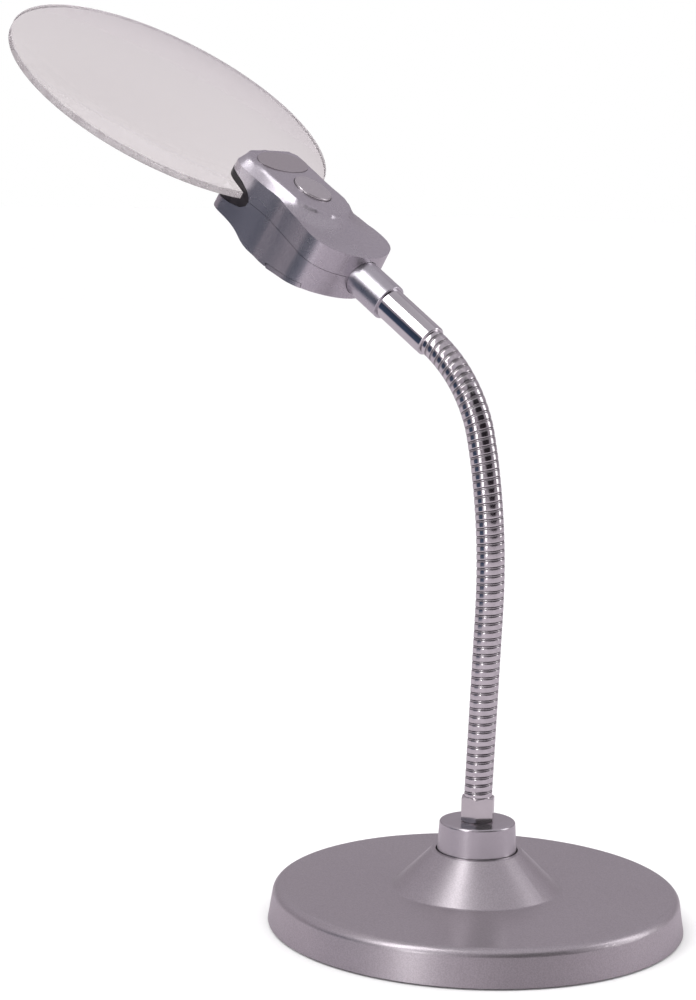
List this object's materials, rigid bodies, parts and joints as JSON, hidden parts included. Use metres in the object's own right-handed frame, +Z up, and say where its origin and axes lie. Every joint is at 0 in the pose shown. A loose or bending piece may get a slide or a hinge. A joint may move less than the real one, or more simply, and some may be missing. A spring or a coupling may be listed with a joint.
{
  "type": "low vision magnifier",
  "caption": "Desk magnifier: large round rimless lens gripped by a lit battery head on a chrome gooseneck that swivels on a heavy round foot.",
  "frame": {"origin": "centre of the foot's underside, on the vertical swivel axis", "axes": "+Z up along the swivel axis; the lens and head reach towards -X; the neck bends in the XZ plane, which is the plane of symmetry"},
  "size_m": [0.2345, 0.123, 0.2735],
  "materials": {
    "silver_enamel": "satin, fine",
    "cast_iron": "rough",
    "zinc_plate": "plated",
    "foot_rubber": "matte",
    "screw_steel": "plated",
    "nylon": "natural",
    "bright_nickel": "polished",
    "polished_chrome": "mirror polished",
    "satin_chrome": "satin",
    "gooseneck_chrome": "polished",
    "clear_acrylic": "clear, polished",
    "black_grip": "satin",
    "silver_plastic": "metallic paint",
    "badge_plate": "blank, satin",
    "button_plastic": "metallic paint",
    "switch_plastic": "moulded",
    "board_green": "solder mask",
    "lamp_resin": "clear",
    "cell_steel": "plated",
    "contact_brass": "sprung"
  },
  "bodies": {
    "foot": {"base_cover": "silver_enamel", "ballast_weight": "cast_iron", "bottom_plate": "zinc_plate", "foot_pad": "foot_rubber", "base_screws": "screw_steel", "thrust_washer": "nylon"},
    "swivel": {"swivel_collar": "silver_enamel", "neck_fitting": "bright_nickel", "spring_washer": "screw_steel", "lock_nut": "screw_steel"},
    "link_01": {"neck_link_01": "gooseneck_chrome"},
    "link_02": {"neck_link_02": "gooseneck_chrome"},
    "link_03": {"neck_link_03": "gooseneck_chrome"},
    "link_04": {"neck_link_04": "gooseneck_chrome"},
    "link_05": {"neck_link_05": "gooseneck_chrome"},
    "link_06": {"neck_link_06": "gooseneck_chrome"},
    "link_07": {"neck_link_07": "gooseneck_chrome"},
    "link_08": {"neck_link_08": "gooseneck_chrome"},
    "link_09": {"neck_link_09": "gooseneck_chrome"},
    "link_10": {"neck_link_10": "gooseneck_chrome"},
    "link_11": {"neck_link_11": "gooseneck_chrome"},
    "link_12": {"neck_link_12": "gooseneck_chrome"},
    "link_13": {"neck_link_13": "gooseneck_chrome"},
    "link_14": {"neck_link_14": "gooseneck_chrome"},
    "link_15": {"neck_link_15": "gooseneck_chrome"},
    "head": {"chrome_tube": "polished_chrome", "head_sleeve": "satin_chrome", "sleeve_pin": "screw_steel", "lens": "clear_acrylic", "jaw_liner": "black_grip", "upper_shell": "silver_plastic", "lower_shell": "silver_plastic", "shell_screws": "screw_steel", "badge": "badge_plate", "switch_body": "switch_plastic", "circuit_board": "board_green", "led_lamps": "lamp_resin", "coin_cells": "cell_steel", "contact_spring": "contact_brass", "contact_side": "contact_brass"},
    "button": {"push_button": "button_plastic", "switch_plunger": "switch_plastic"},
    "door": {"battery_door": "silver_plastic"}
  },
  "joints": [
    {"name": "base_swivel", "type": "hinge", "parent": "foot", "child": "swivel", "pos_m": [0, 0, 0.0194], "axis": [0, 0, 1], "continuous": true},
    {"name": "neck_lower_bend", "type": "hinge", "parent": "swivel", "child": "link_01", "pos_m": [0, 0, 0.039], "axis": [0.0005, -1, 0], "range_deg": [-8, 8]},
    {"name": "neck_lower_bend_02", "type": "hinge", "parent": "link_01", "child": "link_02", "pos_m": [0.00036, 0, 0.04825], "axis": [0.0005, -1, 0], "range_deg": [-8.01, 8.01]},
    {"name": "neck_side_bend", "type": "hinge", "parent": "link_02", "child": "link_03", "pos_m": [0.00071, 0, 0.05751], "axis": [0.9993, 0, -0.0384], "range_deg": [-10, 10]},
    {"name": "neck_lower_bend_04", "type": "hinge", "parent": "link_03", "child": "link_04", "pos_m": [0.00107, 0, 0.06676], "axis": [0.0005, -1, 0], "range_deg": [-8.01, 8.01]},
    {"name": "neck_lower_bend_05", "type": "hinge", "parent": "link_04", "child": "link_05", "pos_m": [0.00142, 0, 0.07601], "axis": [0.0005, -1, 0], "range_deg": [-8.01, 8.01]},
    {"name": "neck_side_bend_06", "type": "hinge", "parent": "link_05", "child": "link_06", "pos_m": [0.00178, 0, 0.08527], "axis": [0.9993, 0, -0.0384], "range_deg": [-10.01, 10.01]},
    {"name": "neck_lower_bend_07", "type": "hinge", "parent": "link_06", "child": "link_07", "pos_m": [0.00213, 0, 0.09452], "axis": [0.0005, -1, 0], "range_deg": [-8.01, 8.01]},
    {"name": "neck_lower_bend_08", "type": "hinge", "parent": "link_07", "child": "link_08", "pos_m": [0.00225, 0, 0.10378], "axis": [0.0005, -1, 0], "range_deg": [-8.01, 8.01]},
    {"name": "neck_side_bend_09", "type": "hinge", "parent": "link_08", "child": "link_09", "pos_m": [0.00193, 0, 0.11303], "axis": [0.9983, 0, 0.0578], "range_deg": [-10.01, 10.01]},
    {"name": "neck_upper_bend", "type": "hinge", "parent": "link_09", "child": "link_10", "pos_m": [0.00118, 0, 0.12226], "axis": [0.0005, -1, 0], "range_deg": [-9.6, 1.4]},
    {"name": "neck_upper_bend_11", "type": "hinge", "parent": "link_10", "child": "link_11", "pos_m": [-0.00001, 0, 0.13145], "axis": [0.0005, -1, 0], "range_deg": [-9.61, 1.41]},
    {"name": "neck_side_bend_12", "type": "hinge", "parent": "link_11", "child": "link_12", "pos_m": [-0.00161, 0, 0.14057], "axis": [0.9769, 0, 0.2135], "range_deg": [-10.01, 10.01]},
    {"name": "neck_upper_bend_13", "type": "hinge", "parent": "link_12", "child": "link_13", "pos_m": [-0.00396, 0, 0.14952], "axis": [0.0005, -1, 0], "range_deg": [-18.72, 2.74]},
    {"name": "neck_upper_bend_14", "type": "hinge", "parent": "link_13", "child": "link_14", "pos_m": [-0.00809, 0, 0.15781], "axis": [0.0005, -1, 0], "range_deg": [-18.72, 2.74]},
    {"name": "neck_upper_bend_15", "type": "hinge", "parent": "link_14", "child": "link_15", "pos_m": [-0.01384, 0, 0.16507], "axis": [0.0005, -1, 0], "range_deg": [-18.72, 2.74]},
    {"name": "neck_upper_bend_16", "type": "hinge", "parent": "link_15", "child": "head", "pos_m": [-0.02096, 0, 0.17099], "axis": [0.0005, -1, 0], "range_deg": [-12.84, 1.88]},
    {"name": "button_press", "type": "slide", "parent": "head", "child": "button", "axis": [-0.5569, 0, -0.8306], "range_m": [0, 0.0007], "stiffness_N_per_m": 600, "springref_m": -0.0006},
    {"name": "battery_door_hinge", "type": "hinge", "parent": "head", "child": "door", "pos_m": [-0.07247, 0, 0.19177], "axis": [0, 1, 0], "range_deg": [0, 80]}
  ],
  "couplings": [
    {"joint": "neck_lower_bend_02", "follows": "neck_lower_bend", "ratio": 1},
    {"joint": "neck_lower_bend_04", "follows": "neck_lower_bend", "ratio": 1},
    {"joint": "neck_lower_bend_05", "follows": "neck_lower_bend", "ratio": 1},
    {"joint": "neck_side_bend_06", "follows": "neck_side_bend", "ratio": 1},
    {"joint": "neck_lower_bend_07", "follows": "neck_lower_bend", "ratio": 1},
    {"joint": "neck_lower_bend_08", "follows": "neck_lower_bend", "ratio": 1},
    {"joint": "neck_side_bend_09", "follows": "neck_side_bend", "ratio": 1},
    {"joint": "neck_upper_bend_11", "follows": "neck_upper_bend", "ratio": 1},
    {"joint": "neck_side_bend_12", "follows": "neck_side_bend", "ratio": 1},
    {"joint": "neck_upper_bend_13", "follows": "neck_upper_bend", "ratio": 1.949},
    {"joint": "neck_upper_bend_14", "follows": "neck_upper_bend", "ratio": 1.949},
    {"joint": "neck_upper_bend_15", "follows": "neck_upper_bend", "ratio": 1.949},
    {"joint": "neck_upper_bend_16", "follows": "neck_upper_bend", "ratio": 1.3362}
  ]
}
